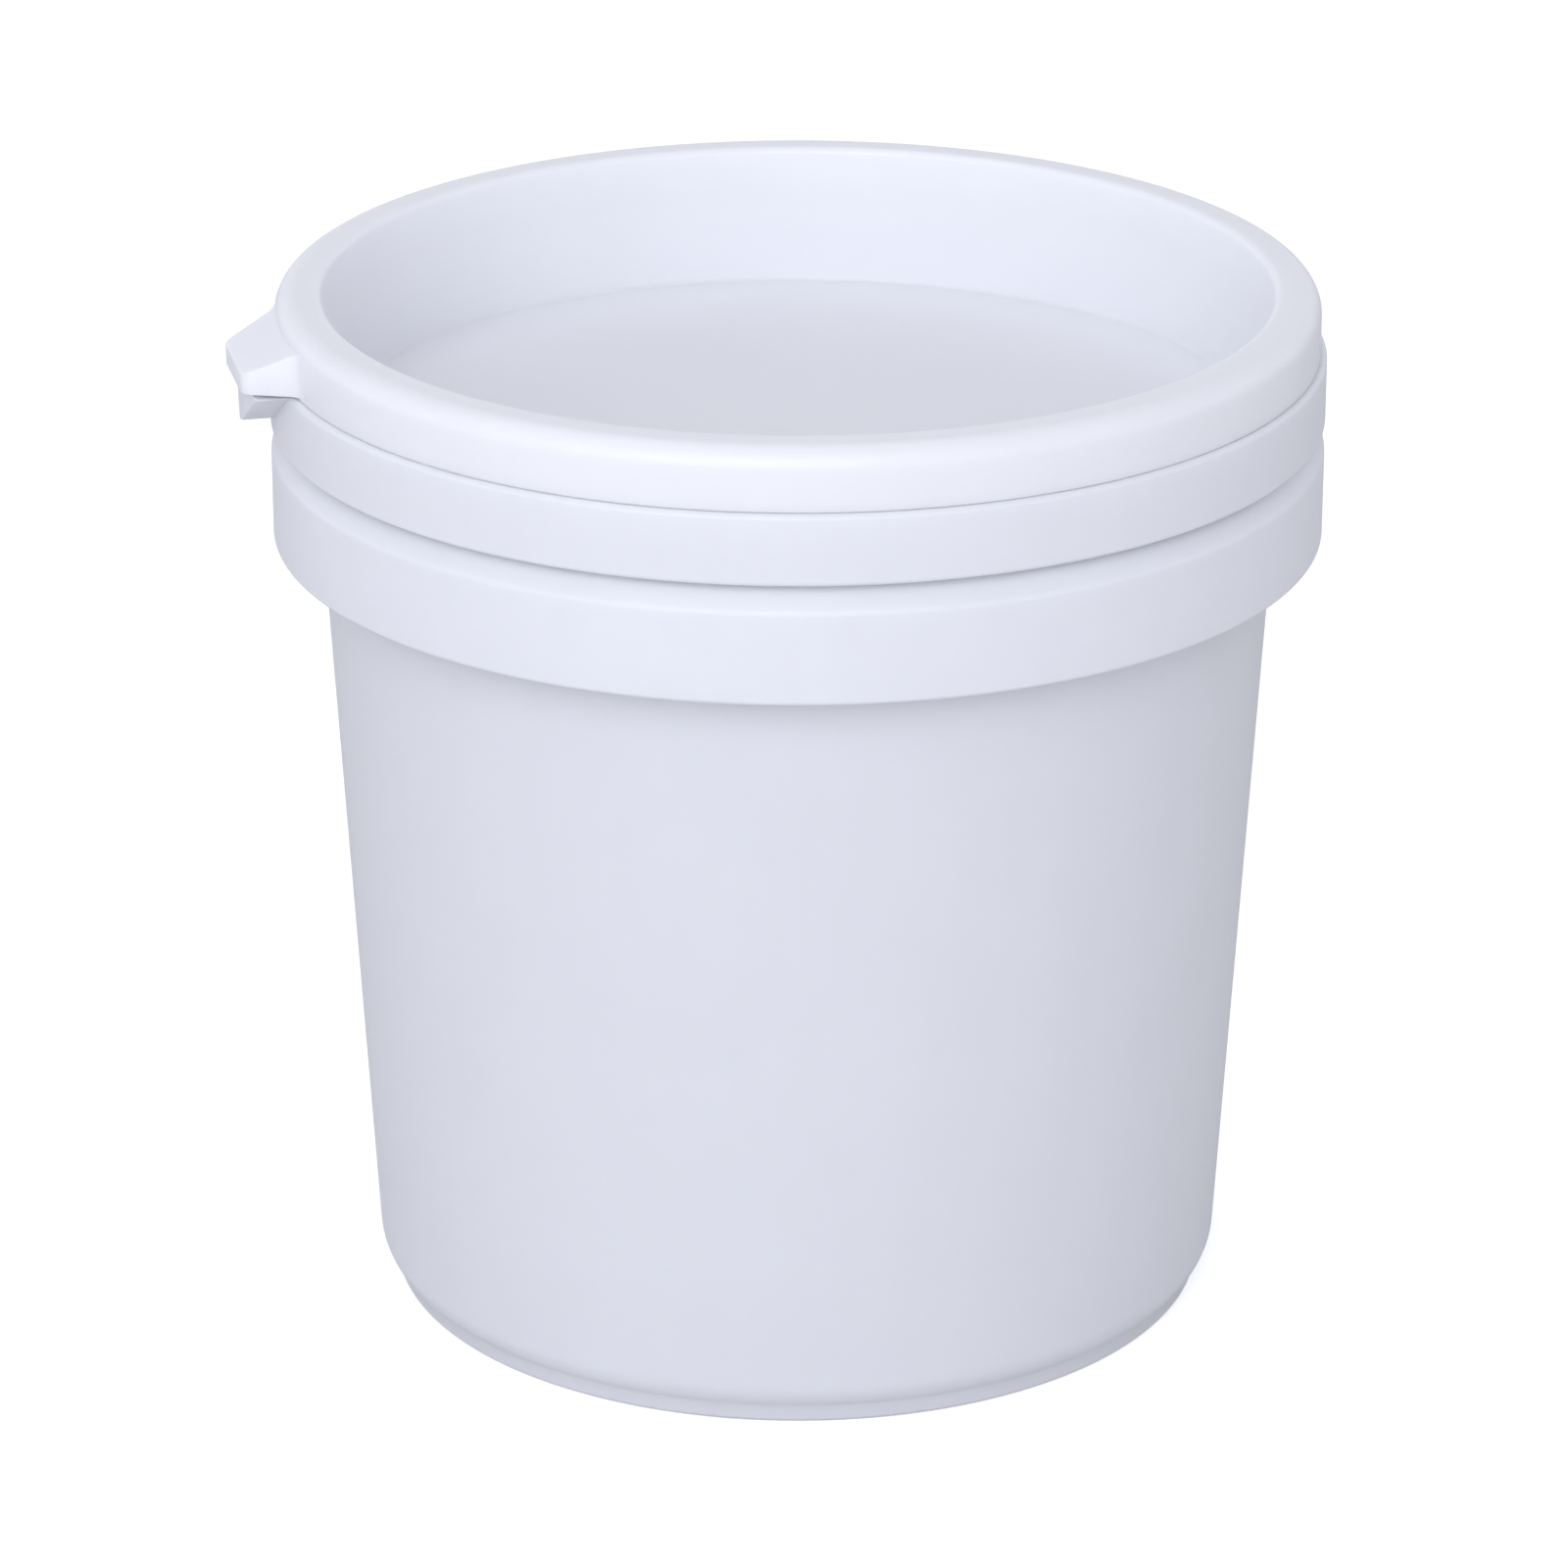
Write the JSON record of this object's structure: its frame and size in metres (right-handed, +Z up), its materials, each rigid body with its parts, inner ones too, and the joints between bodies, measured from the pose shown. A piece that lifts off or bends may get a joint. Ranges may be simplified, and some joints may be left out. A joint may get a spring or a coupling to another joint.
{
  "type": "plastic paint pail",
  "caption": "Tapered round plastic paint pail with a grooved collar, closed by a press-on lid with a sunken panel and a finger tab.",
  "frame": {"origin": "centre of the pail's flat base, on the surface that it stands on", "axes": "+Z up along the pail's axis; the lid's finger tab points along -X"},
  "size_m": [0.1351, 0.13, 0.1302],
  "materials": {
    "pail_plastic": "satin, slightly translucent white",
    "lid_plastic": "satin white"
  },
  "bodies": {
    "pail": {"pail": "pail_plastic"},
    "lid": {"lid": "lid_plastic"}
  },
  "joints": [
    {"name": "lid_lift", "type": "slide", "parent": "pail", "child": "lid", "axis": [0, 0, 1], "range_m": [0, 0.045]}
  ]
}
